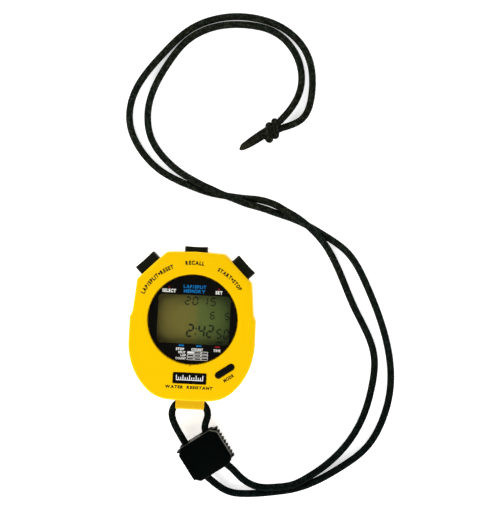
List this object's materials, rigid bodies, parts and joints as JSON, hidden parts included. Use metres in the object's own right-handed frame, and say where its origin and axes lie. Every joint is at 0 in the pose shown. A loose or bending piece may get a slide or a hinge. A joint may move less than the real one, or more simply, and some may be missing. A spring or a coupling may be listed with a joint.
{
  "type": "digital sports stopwatch",
  "caption": "Handheld digital sports stopwatch with edge pushers, a mode key and a round liquid-crystal window, on a doubled braided neck lanyard with a slider and an end knot.",
  "frame": {"origin": "on the dial's axis at the flat rear face", "axes": "+Z out of the dial, +Y towards the top pusher, +X to the start/stop pusher's side"},
  "size_m": [0.1465, 0.2525, 0.0204],
  "materials": {
    "yellow_plastic": "satin",
    "black_plastic": "satin",
    "black_print": "printed film",
    "clear_plastic": "clear acrylic",
    "lcd_glass": "polarised glass",
    "reflector_film": "satin film",
    "white_plastic": "moulded",
    "rubber": "matte",
    "conductive_rubber": "matte",
    "board": "solder mask",
    "epoxy": "glossy",
    "steel": "plated",
    "brass": "plated",
    "braided_cord": "round braid",
    "slider_plastic": "moulded"
  },
  "bodies": {
    "case": {"front_case": "yellow_plastic", "rear_case": "yellow_plastic", "case_gasket": "rubber", "window_lens": "clear_plastic", "lens_gasket": "rubber", "dial_mask": "black_print", "lcd_front_glass": "lcd_glass", "lcd_rear_glass": "lcd_glass", "lcd_reflector": "reflector_film", "lcd_holder": "white_plastic", "zebra_strip_upper": "conductive_rubber", "zebra_strip_lower": "conductive_rubber", "circuit_board": "board", "chip_blob": "epoxy", "quartz_crystal": "steel", "buzzer_disc": "brass", "buzzer_spring": "steel", "coin_cell": "steel", "battery_clip": "steel", "battery_leaf": "brass", "nameplate": "black_print", "cord_left": "braided_cord", "cord_right": "braided_cord", "cord_knot": "braided_cord", "mode_spring": "steel", "case_screw_1": "steel", "board_screw_1": "steel", "case_screw_2": "steel", "board_screw_2": "steel", "case_screw_3": "steel", "board_screw_3": "steel", "case_screw_4": "steel", "board_screw_4": "steel", "start_stop_o_ring": "rubber", "start_stop_spring": "steel", "start_stop_switch_leaf": "brass", "recall_o_ring": "rubber", "recall_spring": "steel", "recall_switch_leaf": "brass", "lap_reset_o_ring": "rubber", "lap_reset_spring": "steel", "lap_reset_switch_leaf": "brass"},
    "start_stop_pusher": {"start_stop_cap": "black_plastic", "start_stop_stem": "steel", "start_stop_clip": "steel"},
    "recall_pusher": {"recall_cap": "black_plastic", "recall_stem": "steel", "recall_clip": "steel"},
    "lap_reset_pusher": {"lap_reset_cap": "black_plastic", "lap_reset_stem": "steel", "lap_reset_clip": "steel"},
    "mode_button": {"mode_key": "black_plastic", "mode_contact": "conductive_rubber"},
    "cord_slider": {"slider_front_shell": "slider_plastic", "slider_rear_shell": "slider_plastic"}
  },
  "joints": [
    {"name": "start_stop_press", "type": "slide", "parent": "case", "child": "start_stop_pusher", "axis": [-0.7071, -0.7071, 0], "range_m": [0, 0.0011], "stiffness_N_per_m": 600, "springref_m": -0.0006, "deforming": ["start_stop_spring"]},
    {"name": "recall_press", "type": "slide", "parent": "case", "child": "recall_pusher", "axis": [0, -1, 0], "range_m": [0, 0.0011], "stiffness_N_per_m": 600, "springref_m": -0.0006, "deforming": ["recall_spring"]},
    {"name": "lap_reset_press", "type": "slide", "parent": "case", "child": "lap_reset_pusher", "axis": [0.7071, -0.7071, 0], "range_m": [0, 0.0011], "stiffness_N_per_m": 600, "springref_m": -0.0006, "deforming": ["lap_reset_spring"]},
    {"name": "mode_press", "type": "slide", "parent": "case", "child": "mode_button", "axis": [0, 0, -1], "range_m": [0, 0.0006], "stiffness_N_per_m": 500, "springref_m": -0.0005, "deforming": ["mode_spring"]},
    {"name": "slider_slide", "type": "slide", "parent": "case", "child": "cord_slider", "axis": [0.57, -0.8216, 0], "range_m": [-0.0015, 0.0015]}
  ]
}
